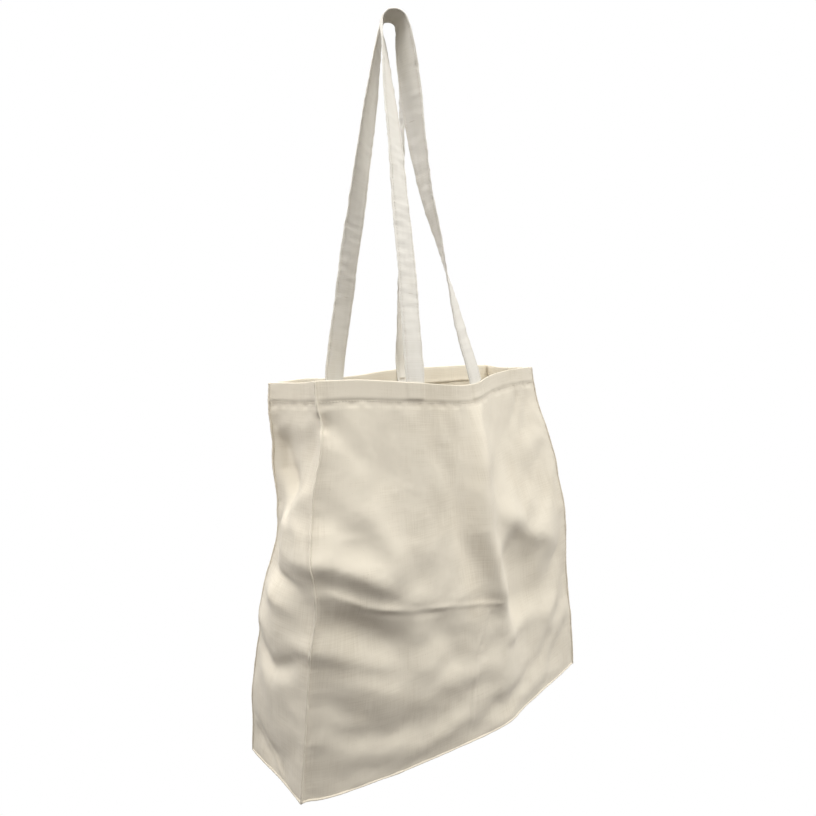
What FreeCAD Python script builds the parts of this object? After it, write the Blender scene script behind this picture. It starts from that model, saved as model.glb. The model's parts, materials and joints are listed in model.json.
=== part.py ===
"""Canvas tote bag: five cloth panels sewn into an open box, a turned hem and two long handles.

Frame: millimetres, +Z up, the front panel faces -Y, the origin is the middle of the base.
The cloth has no stiffness, so the mouth is a little smaller than the base and turned against it.
"""

import FreeCAD
import Part
import os
import Sketcher

from math import cos, pi, radians, sin

Vector = FreeCAD.Vector
UP = Vector(0, 0, 1)

# name, value in millimetres or degrees, meaning
DRIVING = [
    ("bag_height", 420, "base to rim"),
    ("belly_height", 200, "level of the widest section"),
    ("cloth", 1.0, "one layer of canvas"),
    ("seam_width", 3.0, "side of a seam's two turned edges"),
    ("seam_gap", 0.4, "between a seam and the panel that it holds"),
    ("base_half_length", 214, "base, along X"),
    ("base_half_depth", 50, "base, along Y"),
    ("base_bulge", 38, "front edge of the base, out from a straight line"),
    ("base_hollow", 16, "back edge of the base, in from a straight line"),
    ("belly_half_length", 207, "belly, along its own length"),
    ("belly_half_depth", 50, "belly, across"),
    ("belly_bulge", 32, "front of the belly, out"),
    ("belly_hollow", 4, "back of the belly, in"),
    ("belly_turn", 3.5, "belly, turned about Z"),
    ("belly_shift_x", -4, "belly's middle"),
    ("belly_shift_y", 4, "belly's middle"),
    ("gusset_belly", 14, "side gusset's middle, out at the belly"),
    ("mouth_half_length", 182, "rim, along its own length"),
    ("mouth_half_depth", 41, "rim, across"),
    ("mouth_bulge", 21, "front of the rim, out"),
    ("mouth_hollow", -4, "back of the rim, in"),
    ("mouth_turn", 7.4, "rim, turned about Z"),
    ("mouth_shift_x", -16, "rim's middle"),
    ("mouth_shift_y", 13, "rim's middle"),
    ("gusset_fold", 18, "side gusset's middle, in at the rim"),
    ("bend_left", 98, "first bend of a long wall, left of its middle"),
    ("bend_right", 62, "second bend of a long wall, right of its middle"),
    ("hem_depth", 22, "turned hem, down from the rim"),
    ("hem_gap", 0.4, "between layers of the hem"),
    ("strap_width", 27, "handle strap"),
    ("strap_thick", 1.6, "handle strap, four layers pressed flat"),
    ("strap_spread", 110, "between the two legs of a handle at the rim"),
    ("front_handle_centre", -20, "middle of the front handle along the rim"),
    ("back_handle_centre", -38, "middle of the back handle along the rim"),
    ("hinge_rise", 6, "handle's bending line above the rim"),
    ("loop_radius", 12, "inside of a handle's top loop"),
    ("loop_height", 795, "middle of the top loops"),
    ("loop_x", -57, "middle of the two loops"),
    ("loop_y", 0, "middle of the two loops"),
    ("loop_gap", 1.5, "between the two loops"),
    ("peg_turn", 70, "direction that the loops are threaded along, from +X"),
    ("tack_bar", 1.2, "square section of a bar tack's thread"),
]


def make_sheet(doc):
    """The spreadsheet of driving dimensions."""
    sheet = doc.addObject("Spreadsheet::Sheet", "Dims")
    for row, (alias, value, meaning) in enumerate(DRIVING, start=1):
        sheet.set(f"A{row}", alias)
        sheet.set(f"B{row}", str(value))
        sheet.set(f"C{row}", meaning)
        sheet.setAlias(f"B{row}", alias)
    doc.recompute()
    return sheet


class Shape3D:
    """The bag's outline at any height, worked out from the sheet."""

    def __init__(self, sheet):
        self.size = {alias: float(sheet.get(alias)) for alias, _, _ in DRIVING}
        self.rim = self.size["bag_height"]
        self.levels = [0.0, self.size["belly_height"], self.rim]
        self.walls = [self.level_walls(name) for name in ("base", "belly", "mouth")]

    def level_walls(self, level):
        """The four walls' corner points at one level, each listed from its left end."""
        s = self.size
        length, depth = s[f"{level}_half_length"], s[f"{level}_half_depth"]
        bulge, hollow = s[f"{level}_bulge"], s[f"{level}_hollow"]
        side = {"base": 0, "belly": s["gusset_belly"], "mouth": -s["gusset_fold"]}[level]
        left, right = -s["bend_left"], s["bend_right"]
        front = [(-length, -depth), (left, -depth - bulge), (right, -depth - bulge), (length, -depth)]
        back = [(-length, depth), (left, depth - hollow), (right, depth - hollow), (length, depth)]
        west = [(-length, -depth), (-length - side, 0), (-length, depth)]
        east = [(length, -depth), (length + side, 0), (length, depth)]
        walls = {"front": front, "back": back, "left": west, "right": east}
        return {name: [self.placed(level, *p) for p in points] for name, points in walls.items()}

    def placed(self, level, along, across):
        """A point of one level's own outline, turned and shifted into the bag's frame."""
        turn = radians(self.size.get(f"{level}_turn", 0))
        x = along * cos(turn) - across * sin(turn) + self.size.get(f"{level}_shift_x", 0)
        y = along * sin(turn) + across * cos(turn) + self.size.get(f"{level}_shift_y", 0)
        return Vector(x, y, 0)

    def outline(self, wall, height):
        """One wall's points at a height, straight between the levels above and below."""
        upper = 1 if height <= self.levels[1] else 2
        low, high = self.levels[upper - 1], self.levels[upper]
        share = (height - low) / (high - low)
        pairs = zip(self.walls[upper - 1][wall], self.walls[upper][wall])
        return [a * (1 - share) + b * share + UP * height for a, b in pairs]


def normals(points, outward):
    """The unit normal at each point of a level polyline, lengthened at bends to keep a constant offset."""
    runs = [(b - a).normalize() for a, b in zip(points, points[1:])]
    flat = [Vector(run.y, -run.x, 0) * outward for run in runs]
    ends = [flat[0], *[(a + b) / (1 + a.dot(b)) for a, b in zip(flat, flat[1:])], flat[-1]]
    return ends


def trimmed(points, inset):
    """The polyline with both ends drawn in."""
    first = points[0] + (points[1] - points[0]).normalize() * inset
    last = points[-1] + (points[-2] - points[-1]).normalize() * inset
    return [first, *points[1:-1], last]


OUTWARD = {"front": 1, "back": -1, "left": -1, "right": 1}


def band_section(shape, wall, height, inset, depth_in, thick):
    """A closed wire: the wall's outline at a height, from depth_in inside the cloth to thick further in."""
    points = trimmed(shape.outline(wall, height), inset)
    side = normals(points, OUTWARD[wall])
    outer = [p - n * depth_in for p, n in zip(points, side)]
    inner = [p - n * (depth_in + thick) for p, n in zip(points, side)]
    ring = [*outer, *reversed(inner)]
    return Part.makePolygon([*ring, ring[0]])


def band(shape, wall, bottom, top, inset, depth_in, thick):
    """A solid band of one wall between two heights."""
    heights = [bottom, *[h for h in shape.levels if bottom < h < top], top]
    rings = [band_section(shape, wall, h, inset, depth_in, thick) for h in heights]
    pieces = [Part.makeLoft([low, high], True, True) for low, high in zip(rings, rings[1:])]
    solid = pieces[0] if len(pieces) == 1 else pieces[0].multiFuse(pieces[1:])
    return solid.Solids[0]


def post(shape, wall, end, bottom, top):
    """A square seam that follows the corner at one end of a wall."""
    half = shape.size["seam_width"] / 2
    rings = []
    for height in [bottom, shape.size["belly_height"], top]:
        middle = shape.outline(wall, height)[end]
        corners = [middle + Vector(x * half, y * half, 0) for x, y in ((-1, -1), (1, -1), (1, 1), (-1, 1))]
        rings.append(Part.makePolygon([*corners, corners[0]]))
    pieces = [Part.makeLoft([low, high], True, True) for low, high in zip(rings, rings[1:])]
    return pieces[0].multiFuse(pieces[1:]).Solids[0]


def add_feature(doc, label, solid):
    """A document object whose shape was worked out from the sheet."""
    feature = doc.addObject("Part::Feature", label)
    feature.Label = label
    feature.Shape = solid
    return feature


def add_walls(doc, shape):
    """The four upright panels."""
    s = shape.size
    foot = s["seam_width"] + s["seam_gap"]
    names = {"front": "front_panel", "back": "back_panel", "left": "left_gusset", "right": "right_gusset"}
    inset = s["seam_width"]
    return [
        add_feature(doc, label, band(shape, wall, foot, shape.rim, inset, -s["cloth"] / 2, s["cloth"]))
        for wall, label in names.items()
    ]


def add_hems(doc, shape):
    """The turned layer inside the rim, one length on each wall."""
    s = shape.size
    bottom, top = shape.rim - s["hem_depth"], shape.rim - s["cloth"]
    depth_in = s["cloth"] / 2 + s["hem_gap"]
    inset = 2 * s["seam_width"]
    return [
        add_feature(doc, f"{wall}_hem", band(shape, wall, bottom, top, inset, depth_in, s["cloth"]))
        for wall in OUTWARD
    ]


def add_upright_seams(doc, shape):
    """The four corner seams."""
    s = shape.size
    foot = s["seam_width"] + s["seam_gap"]
    top = shape.rim - s["cloth"]
    corners = [("front", 0, "left"), ("front", -1, "right"), ("back", 0, "left"), ("back", -1, "right")]
    return [
        add_feature(doc, f"{wall}_{side}_seam", post(shape, wall, end, foot, top))
        for wall, end, side in corners
    ]


def add_base_seams(doc, shape):
    """The four seams round the base, which stand on the ground."""
    s = shape.size
    width = s["seam_width"]
    return [
        add_feature(doc, f"base_{wall}_seam", band(shape, wall, 0, width, width, -width / 2, width))
        for wall in OUTWARD
    ]


def base_outline(shape):
    """The base panel's corners, in from the base seams."""
    s = shape.size
    inward = s["seam_width"] / 2 + s["seam_gap"]
    x, y = s["base_half_length"] - inward, s["base_half_depth"] - inward
    left, right = s["bend_left"], s["bend_right"]
    front, back = y + s["base_bulge"], y - s["base_hollow"]
    return [(-x, -y), (-left, -front), (right, -front), (x, -y), (x, y), (right, back), (-left, back), (-x, y)]


BASE_FORMULAS = {
    "x": "Dims.base_half_length - Dims.seam_width / 2 - Dims.seam_gap",
    "y": "Dims.base_half_depth - Dims.seam_width / 2 - Dims.seam_gap",
    "left": "Dims.bend_left",
    "right": "Dims.bend_right",
    "front": "Dims.base_half_depth - Dims.seam_width / 2 - Dims.seam_gap + Dims.base_bulge",
    "back": "Dims.base_half_depth - Dims.seam_width / 2 - Dims.seam_gap - Dims.base_hollow",
}
BASE_CORNERS = [
    ("-x", "-y"), ("-left", "-front"), ("right", "-front"), ("x", "-y"),
    ("x", "y"), ("right", "back"), ("-left", "back"), ("-x", "y"),
]


def add_base(doc, shape):
    """The base panel: a pad whose sketch is bound to the sheet."""
    body = doc.addObject("PartDesign::Body", "base_panel")
    body.Label = "base_panel"
    sketch = body.newObject("Sketcher::SketchObject", "base_outline")
    plane = next(f for f in body.Origin.OriginFeatures if f.Role == "XY_Plane")
    sketch.AttachmentSupport = (plane, [""])
    sketch.MapMode = "FlatFace"
    corners = [Vector(x, y, 0) for x, y in base_outline(shape)]
    count = len(corners)
    for index, corner in enumerate(corners):
        sketch.addGeometry(Part.LineSegment(corner, corners[(index + 1) % count]), False)
    for index in range(count):
        sketch.addConstraint(Sketcher.Constraint("Coincident", index, 2, (index + 1) % count, 1))
    for index, (corner, names) in enumerate(zip(corners, BASE_CORNERS)):
        for kind, value, name in zip(("DistanceX", "DistanceY"), (corner.x, corner.y), names):
            row = sketch.addConstraint(Sketcher.Constraint(kind, -1, 1, index, 1, value))
            sign = "-" if name.startswith("-") else ""
            sketch.setExpression(f"Constraints[{row}]", f"{sign}({BASE_FORMULAS[name.lstrip('-')]})")
    pad = body.newObject("PartDesign::Pad", "base_cloth")
    pad.Profile = sketch
    pad.setExpression("Length", "Dims.cloth")
    body.Tip = pad
    return body


class Handle:
    """The places of one handle: its two feet on a long wall of the rim, and its top loop."""

    def __init__(self, shape, wall):
        s = shape.size
        self.size = s
        self.wall = wall
        sign = -1 if wall == "front" else 1
        bulge = s["mouth_bulge"] if wall == "front" else -s["mouth_hollow"]
        across = sign * (s["mouth_half_depth"] + bulge)
        centre = s[f"{wall}_handle_centre"]
        reach = s["strap_spread"] / 2
        hinge = UP * (shape.rim + s["hinge_rise"])
        self.feet = [shape.placed("mouth", centre + side * reach, across) + hinge for side in (-1, 1)]
        self.foot_angle = s["mouth_turn"]
        peg = radians(s["peg_turn"])
        self.along_peg = Vector(cos(peg), sin(peg), 0)
        self.across_peg = Vector(sin(peg), -cos(peg), 0)
        aside = self.along_peg * sign * (s["strap_width"] + s["loop_gap"]) / 2
        self.loop = Vector(s["loop_x"], s["loop_y"], s["loop_height"]) + aside

    def section(self, middle, run, angle):
        """The strap's rectangle, square to its run as nearly as its width direction allows."""
        width = Vector(cos(radians(angle)), sin(radians(angle)), 0)
        face = run.cross(width).normalize()
        half_w, half_t = self.size["strap_width"] / 2, self.size["strap_thick"] / 2
        corners = [
            middle + width * (half_w * a) + face * (half_t * b)
            for a, b in ((-1, -1), (1, -1), (1, 1), (-1, 1))
        ]
        return Part.makePolygon([*corners, corners[0]])

    def leg(self, foot, side, steps=8):
        """Sections up one leg, turning evenly from the rim's direction to the loop's."""
        top = self.loop + self.across_peg * (side * self.size["loop_radius"])
        run = (top - foot).normalize()
        turn = self.size["peg_turn"] - self.foot_angle
        return [
            self.section(foot + (top - foot) * (i / steps), run, self.foot_angle + turn * i / steps)
            for i in range(steps)
        ]

    def arch(self, steps=6):
        """Sections over the top loop, from the left leg to the right."""
        rings = []
        for i in range(steps + 1):
            angle = pi - pi * i / steps
            out = self.across_peg * cos(angle) + UP * sin(angle)
            run = self.across_peg * sin(angle) - UP * cos(angle)
            rings.append(self.section(self.loop + out * self.size["loop_radius"], run, self.size["peg_turn"]))
        return rings

    def mirrored(self, rings):
        """The same sections with their corners started from the other face, for the leg that comes down."""
        return [Part.makePolygon([ring.Vertexes[i].Point for i in (3, 2, 1, 0, 3)]) for ring in rings]

    def strap(self):
        """The whole exposed strap as one solid."""
        left, right = self.leg(self.feet[0], -1), self.leg(self.feet[1], 1)
        rings = [*left, *self.arch(), *reversed(self.mirrored(right))]
        pieces = [Part.makeLoft([low, high], True, True) for low, high in zip(rings, rings[1:])]
        return pieces[0].multiFuse(pieces[1:]).removeSplitter().Solids[0]


def add_handles(doc, shape):
    """The two handle straps above the rim."""
    return [add_feature(doc, f"{wall}_handle", Handle(shape, wall).strap()) for wall in ("front", "back")]


def add_box(doc, label, sizes, turn, corner):
    """A Part::Box bound to the sheet, turned about Z and set down by its corner."""
    box = doc.addObject("Part::Box", label)
    box.Label = label
    for side, formula in zip(("Length", "Width", "Height"), sizes):
        box.setExpression(side, formula)
    box.Placement = FreeCAD.Placement(corner, FreeCAD.Rotation(UP, turn))
    return box


def add_strap_ends(doc, shape):
    """The end of each strap leg, flat inside the hem, and the bar tack that holds it there."""
    s = shape.size
    layer = s["cloth"] + s["hem_gap"]
    depth_in = s["cloth"] / 2 + s["hem_gap"] + layer
    low = shape.rim - s["hem_depth"]
    made = []
    for wall in ("front", "back"):
        turn = s["mouth_turn"] if wall == "front" else s["mouth_turn"] + 180
        for side, foot in zip(("left", "right"), Handle(shape, wall).feet):
            along = Vector(cos(radians(turn)), sin(radians(turn)), 0)
            across = Vector(-along.y, along.x, 0)
            face = Vector(foot.x, foot.y, low) + across * (depth_in + lean(shape, wall, low))
            corner = face - along * (s["strap_width"] / 2)
            sizes = ("Dims.strap_width", "Dims.strap_thick", "Dims.hem_depth - 2 * Dims.cloth")
            made.append(add_box(doc, f"{wall}_{side}_strap_end", sizes, turn, corner))
            tack = corner + across * (s["strap_thick"] + s["hem_gap"]) + UP * (s["hem_depth"] / 2)
            bar = ("Dims.strap_width", "Dims.tack_bar", "Dims.tack_bar")
            made.append(add_box(doc, f"{wall}_{side}_bar_tack", bar, turn, tack))
    return made


def lean(shape, wall, height):
    """How far the wall's middle stands inside of the rim's at a height below it, along the mouth's own normal."""
    turn = radians(shape.size["mouth_turn"])
    normal = Vector(-sin(turn), cos(turn), 0)
    middle = [sum(shape.outline(wall, h)[1:3], Vector()) / 2 for h in (height, shape.rim)]
    inside = (middle[0] - middle[1]).dot(normal)
    return max(0, inside if wall == "front" else -inside)


def check(items):
    """Stops before anything is written if an object failed or a shape is bad."""
    for item in items:
        if {"Invalid", "Error"} & set(item.State):
            raise RuntimeError(f"{item.Label} failed: {item.State}")
        if item.Shape.isNull() or not item.Shape.isValid() or item.Shape.Volume <= 0:
            raise RuntimeError(f"{item.Label} has no valid shape")


def main():
    doc = FreeCAD.newDocument("tote_bag")
    shape = Shape3D(make_sheet(doc))
    items = [
        *add_walls(doc, shape),
        add_base(doc, shape),
        *add_hems(doc, shape),
        *add_upright_seams(doc, shape),
        *add_base_seams(doc, shape),
        *add_strap_ends(doc, shape),
        *add_handles(doc, shape),
    ]
    doc.recompute()
    check(items)
    os.makedirs("parts", exist_ok=True)
    for item in items:
        item.Shape.exportStep(os.path.join("parts", f"{item.Label}.step"))
        box = item.Shape.BoundBox
        print(f"{item.Label}: {item.Shape.Volume:.0f} mm3, z {box.ZMin:.1f} to {box.ZMax:.1f}")
    for wall in ("front", "back"):
        feet = Handle(shape, wall).feet
        print(wall, "handle bends about", (feet[0] + feet[1]) / 2, "along", (feet[1] - feet[0]).normalize())


main()
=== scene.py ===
"""The canvas tote bag's looks: cloth panels, seams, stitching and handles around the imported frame.

Metres, +Z up, the front panel faces -Y. Round the bag, a place in the cloth is (s, z): s runs along the
walls from the back left corner by way of the front, and z is the height above the base.
"""

import json
import math

import bpy
import numpy as np
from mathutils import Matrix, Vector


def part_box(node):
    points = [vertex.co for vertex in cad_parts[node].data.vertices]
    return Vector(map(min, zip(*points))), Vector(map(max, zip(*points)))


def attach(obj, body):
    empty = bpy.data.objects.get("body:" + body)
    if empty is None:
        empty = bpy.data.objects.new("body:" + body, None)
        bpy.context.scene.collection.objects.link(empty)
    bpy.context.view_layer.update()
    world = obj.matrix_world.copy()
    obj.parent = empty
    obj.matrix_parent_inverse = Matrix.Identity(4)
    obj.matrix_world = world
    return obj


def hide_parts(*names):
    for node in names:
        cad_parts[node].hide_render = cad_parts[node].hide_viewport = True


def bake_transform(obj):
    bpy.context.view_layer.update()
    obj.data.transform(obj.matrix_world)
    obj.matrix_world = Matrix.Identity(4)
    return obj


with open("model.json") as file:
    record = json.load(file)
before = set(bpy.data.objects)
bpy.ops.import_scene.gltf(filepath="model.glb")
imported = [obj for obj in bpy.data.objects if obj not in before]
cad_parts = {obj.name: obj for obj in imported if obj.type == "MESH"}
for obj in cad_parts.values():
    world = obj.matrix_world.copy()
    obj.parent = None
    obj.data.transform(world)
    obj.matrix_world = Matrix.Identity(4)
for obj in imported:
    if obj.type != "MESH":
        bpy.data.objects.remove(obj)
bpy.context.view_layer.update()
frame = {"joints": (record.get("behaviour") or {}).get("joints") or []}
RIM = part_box("front_panel")[1].z
UP = np.array([0, 0, 1])
LEVEL = np.array([1, 1, 0])
HANDLES = ("front_handle", "back_handle")
RANDOM = np.random.default_rng(7)

# The cloth: the walls' lengths along s, the base's cut depth, one layer's thickness, the hem, the straps
GUSSET = 0.100
PANEL = 0.428
ROUND = 2 * (GUSSET + PANEL)
CORNERS = np.cumsum([0, GUSSET, PANEL, GUSSET, PANEL])
WALLS = ("left_gusset", "front_panel", "right_gusset", "back_panel")
CANVAS = 0.0007
HEM = 0.022
HEM_IN = 2.2 * CANVAS
HEM_STITCH = RIM - HEM + 0.0025
STRAP = 0.027
STRAP_THICK = 0.0020
STRAP_SPREAD = 0.110

# Mesh steps: the simulated shell's, the fine grids' and the hem's rows'
STEP = 0.005
FINE = 0.0025
FINEST = 0.00125

# Height, half length, half depth, front out, back in, gussets out, turn in degrees, x and y of the middle
LEVELS = np.array([
    (0.000, 0.214, 0.050, 0.038, 0.016, 0.000, 0.0, 0.000, 0.000),
    (0.100, 0.212, 0.051, 0.037, 0.008, 0.006, 1.5, -0.002, 0.001),
    (0.200, 0.211, 0.050, 0.032, 0.004, 0.010, 3.5, -0.004, 0.004),
    (0.310, 0.196, 0.046, 0.026, 0.000, -0.006, 5.5, -0.010, 0.009),
    (RIM, 0.182, 0.041, 0.021, -0.004, -0.012, 7.4, -0.016, 0.013),
])
LEVEL_SOFTNESS = 0.03

# How far a long wall's middle stands out, as shares of its length and of its full bulge
BASE_BULGE = ((0, 0.08, 0.24, 0.50, 0.61, 0.69, 0.82, 1), (0, 0.33, 0.66, 0.98, 1.0, 0.72, 0.42, 0))
MOUTH_BULGE = ((0, 0.12, 0.28, 0.45, 0.60, 0.74, 0.87, 1), (0, 0.75, 1.32, 1.25, 0.88, 0.20, 0.06, 0))
BULGE_SOFTNESS = 0.03

# How far the rim sags: places s round the ring, and the drop at each
RIM_SAG = (
    (0, 0.05, 0.10, 0.15, 0.21, 0.24, 0.28, 0.32, 0.355, 0.38, 0.42,
     0.46, 0.528, 0.58, 0.628, 0.70, 0.78, 0.86, 0.91, 0.95, 1.00, 1.056),
    (0.007, 0.006, 0.001, 0.001, 0.0055, 0.008, 0.0115, 0.0145, 0.0135, 0.0085, 0.0045,
     0.0015, 0, 0.002, 0, -0.0015, -0.001, 0.001, 0.005, 0.007, 0.005, 0.007),
)

# How far the corners stand sideways from the plain outline: s, half width round the ring, (heights, metres)
SIDEWAYS = np.array([0.80, -0.60, 0])
SWAYS = (
    (0.000, 0.045, (
        (0, 0.07, 0.11, 0.16, 0.20, 0.23, 0.26, 0.30, 0.34, 0.39, 0.42),
        (-0.0075, -0.0065, -0.001, 0.004, 0.0095, 0.017, 0.0225, 0.018, 0.009, 0.0025, 0.0025),
    )),
    (0.105, 0.050, (
        (0, 0.07, 0.14, 0.16, 0.18, 0.20, 0.22, 0.24, 0.27, 0.30, 0.33, 0.36, 0.38, 0.42),
        (0, 0.0025, 0.0055, 0.007, 0.010, 0.012, 0.010, 0.008, 0.005, 0.004, 0.0055, 0.010, 0.005, 0),
    )),
    (0.528, 0.060, (
        (0, 0.07, 0.12, 0.16, 0.20, 0.23, 0.26, 0.30, 0.33, 0.37, 0.42),
        (0, -0.0015, -0.0045, -0.0065, -0.001, 0.002, 0.002, 0.005, 0.002, -0.005, -0.006),
    )),
)
SAG_SOFTNESS = 0.012


def lerp(a, b, share):
    return a + (b - a) * share


def smooth(x):
    x = np.clip(x, 0, 1)
    return x * x * (3 - 2 * x)


def soft_interp(x, xs, ys, radius):
    """Straight lines through the points, with the bends rounded."""
    return np.mean([np.interp(x + radius * share, xs, ys) for share in np.linspace(-1, 1, 7)], axis=0)


def unit(vectors):
    """The vectors, which run along the last axis, at length 1."""
    return vectors / np.maximum(np.linalg.norm(vectors, axis=-1, keepdims=True), 1e-12)


def travel_along(path):
    """How far each point of a path is from its start, along it."""
    return np.concatenate([[0], np.cumsum(np.linalg.norm(np.diff(path, axis=0), axis=1))])


def path_at(travel, path, places):
    """Points of a path at places along it."""
    return np.stack([np.interp(places, travel, path[:, k]) for k in range(3)], axis=1)


def handle_joint(name):
    """The middle of one handle's hinge and the way along it, from left to right."""
    joint = next(j for j in frame["joints"] if j["child"] == name)
    axis = np.array(joint["axis"])
    return np.array(joint["pos_m"]), axis * np.sign(axis[0])


# ---------- the bag's outline, before the cloth settles

CORNER_SHARE = 0.04


def wall_point(wall, t, z):
    """Points of one wall's smooth outline: t from 0 to 1 along it in the direction of s, z the height."""
    level = [soft_interp(z, LEVELS[:, 0], LEVELS[:, k], LEVEL_SOFTNESS) for k in range(1, 9)]
    length, depth, bulge, hollow, side, turn, shift_x, shift_y = level
    share = z / RIM
    if wall in ("front_panel", "back_panel"):
        forward = t if wall == "front_panel" else 1 - t
        at_base = soft_interp(forward, *BASE_BULGE, BULGE_SOFTNESS)
        at_mouth = soft_interp(forward, *MOUTH_BULGE, BULGE_SOFTNESS)
        out = lerp(at_base, at_mouth, share)
        out = out * smooth(forward / CORNER_SHARE) * smooth((1 - forward) / CORNER_SHARE)
        x = length * (2 * forward - 1)
        y = -depth - bulge * out if wall == "front_panel" else depth - hollow * out
    else:
        sign = -1 if wall == "left_gusset" else 1
        across = 1 - 2 * t if wall == "left_gusset" else 2 * t - 1
        x = sign * (length + side * (1 - across**2))
        y = depth * across
    angle = np.radians(turn)
    return np.stack([
        x * np.cos(angle) - y * np.sin(angle) + shift_x,
        x * np.sin(angle) + y * np.cos(angle) + shift_y,
        z,
    ], axis=-1)


def ring_counts():
    """Mesh steps along each wall, in the order of WALLS."""
    return [int(round(length / STEP)) for length in (GUSSET, PANEL, GUSSET, PANEL)]


def ring_places(rows):
    """s of each column, z of each row, and the points of the closed ring of walls."""
    s_all, points = [], []
    z = np.linspace(0, RIM, rows)
    for wall, start, count in zip(WALLS, CORNERS, ring_counts()):
        length = PANEL if "panel" in wall else GUSSET
        t = np.arange(count) / count
        grid_t, grid_z = np.meshgrid(t, z)
        s_all.append(start + t * length)
        points.append(wall_point(wall, grid_t, grid_z))
    return np.concatenate(s_all), z, np.concatenate(points, axis=1)


def ring_normals(points):
    """Unit vectors out of a closed ring of points, level, smooth round the corners."""
    run = np.roll(points, -3, axis=1) - np.roll(points, 3, axis=1)
    return unit(np.stack([run[..., 1], -run[..., 0], np.zeros(run.shape[:2])], axis=-1))


def ring_gap(s, place):
    """How far round the ring each s is past a place, the shorter way."""
    return (s - place + ROUND / 2) % ROUND - ROUND / 2


# Soft folds: a line of (s, z) places, half widths on its left and right, height out of the cloth
FOLDS = [
    # the pull of the front handle's right foot
    (((0.351, 0.412), (0.338, 0.375), (0.323, 0.300), (0.321, 0.250), (0.337, 0.180), (0.364, 0.110)),
     0.026, 0.012, 0.016),
    (((0.300, 0.340), (0.286, 0.260), (0.306, 0.180)), 0.022, 0.022, -0.005),
    (((0.358, 0.235), (0.388, 0.175), (0.390, 0.100)), 0.050, 0.028, -0.013),
    (((0.345, 0.290), (0.400, 0.240), (0.460, 0.205), (0.518, 0.170)), 0.045, 0.036, 0.013),
    (((0.352, 0.268), (0.400, 0.228), (0.455, 0.198)), 0.014, 0.008, 0.0025),
    (((0.480, 0.400), (0.440, 0.350)), 0.010, 0.010, -0.002),
    (((0.500, 0.385), (0.465, 0.330)), 0.010, 0.010, -0.002),
    (((0.440, 0.090), (0.500, 0.120)), 0.020, 0.024, 0.004),
    # the belly hangs over in sags that run down from the left gusset
    (((0.105, 0.322), (0.160, 0.284), (0.187, 0.245), (0.197, 0.200)), 0.034, 0.034, 0.008),
    (((0.055, 0.251), (0.115, 0.247), (0.165, 0.222), (0.205, 0.197)), 0.026, 0.018, 0.011),
    (((0.085, 0.228), (0.150, 0.201), (0.205, 0.184)), 0.008, 0.020, 0.005),
    (((0.110, 0.200), (0.170, 0.168), (0.200, 0.135)), 0.014, 0.020, -0.006),
    (((0.060, 0.168), (0.120, 0.155), (0.200, 0.120)), 0.018, 0.010, 0.0035),
    (((0.120, 0.132), (0.190, 0.098), (0.222, 0.112)), 0.012, 0.030, 0.0025),
    (((0.230, 0.165), (0.270, 0.130), (0.280, 0.080)), 0.022, 0.022, -0.004),
    # the left gusset, folded in under its hem
    (((0.006, 0.375), (0.020, 0.332), (0.047, 0.294)), 0.022, 0.008, -0.013),
    (((0.022, 0.286), (0.060, 0.280), (0.108, 0.276)), 0.018, 0.036, 0.007),
    (((0.050, 0.286), (0.098, 0.322)), 0.010, 0.016, 0.006),
    (((0.096, 0.392), (0.104, 0.368)), 0.007, 0.007, -0.006),
    (((0.010, 0.228), (0.085, 0.222)), 0.008, 0.010, -0.0045),
    (((0.020, 0.205), (0.080, 0.196)), 0.012, 0.010, 0.0035),
    (((0.004, 0.170), (0.040, 0.160)), 0.014, 0.012, 0.003),
    (((0.004, 0.146), (0.045, 0.122), (0.092, 0.150)), 0.008, 0.012, -0.006),
    (((0.020, 0.112), (0.080, 0.120)), 0.012, 0.024, 0.003),
    (((0.005, 0.040), (0.055, 0.008)), 0.014, 0.014, -0.005),
    # the right gusset and the back, under its own handle
    (((0.575, 0.390), (0.570, 0.270)), 0.020, 0.020, -0.016),
    (((0.545, 0.240), (0.600, 0.225)), 0.020, 0.014, 0.008),
    (((0.540, 0.180), (0.615, 0.160)), 0.012, 0.012, -0.006),
    (((0.540, 0.100), (0.610, 0.120)), 0.014, 0.014, -0.005),
    (((0.760, 0.405), (0.772, 0.300), (0.765, 0.180)), 0.016, 0.030, 0.008),
    (((0.880, 0.405), (0.868, 0.300), (0.872, 0.200)), 0.030, 0.016, 0.009),
    (((0.820, 0.360), (0.815, 0.200)), 0.030, 0.030, -0.006),
    (((0.650, 0.260), (0.720, 0.200), (0.790, 0.140)), 0.014, 0.024, 0.008),
    (((0.680, 0.180), (0.750, 0.120), (0.800, 0.090)), 0.012, 0.020, -0.006),
    (((0.890, 0.130), (0.950, 0.180), (1.030, 0.215)), 0.024, 0.014, 0.008),
    (((0.930, 0.100), (1.040, 0.140)), 0.020, 0.014, -0.006),
    (((0.985, 0.330), (1.040, 0.290)), 0.016, 0.016, -0.006),
]


# A fold's height at its two ends and the share of its length over which it grows from there
FOLD_END = 0.25
FOLD_RISE = 0.3

# Folds start to die out this far from the rim, and end past the base, over these lengths
RIM_HELD, RIM_FADE = 0.004, 0.035
BASE_HELD, BASE_FADE = 0.012, 0.04
CORNER_BLEND = (0.1, 0.2, 0.4, 0.2, 0.1)


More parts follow.
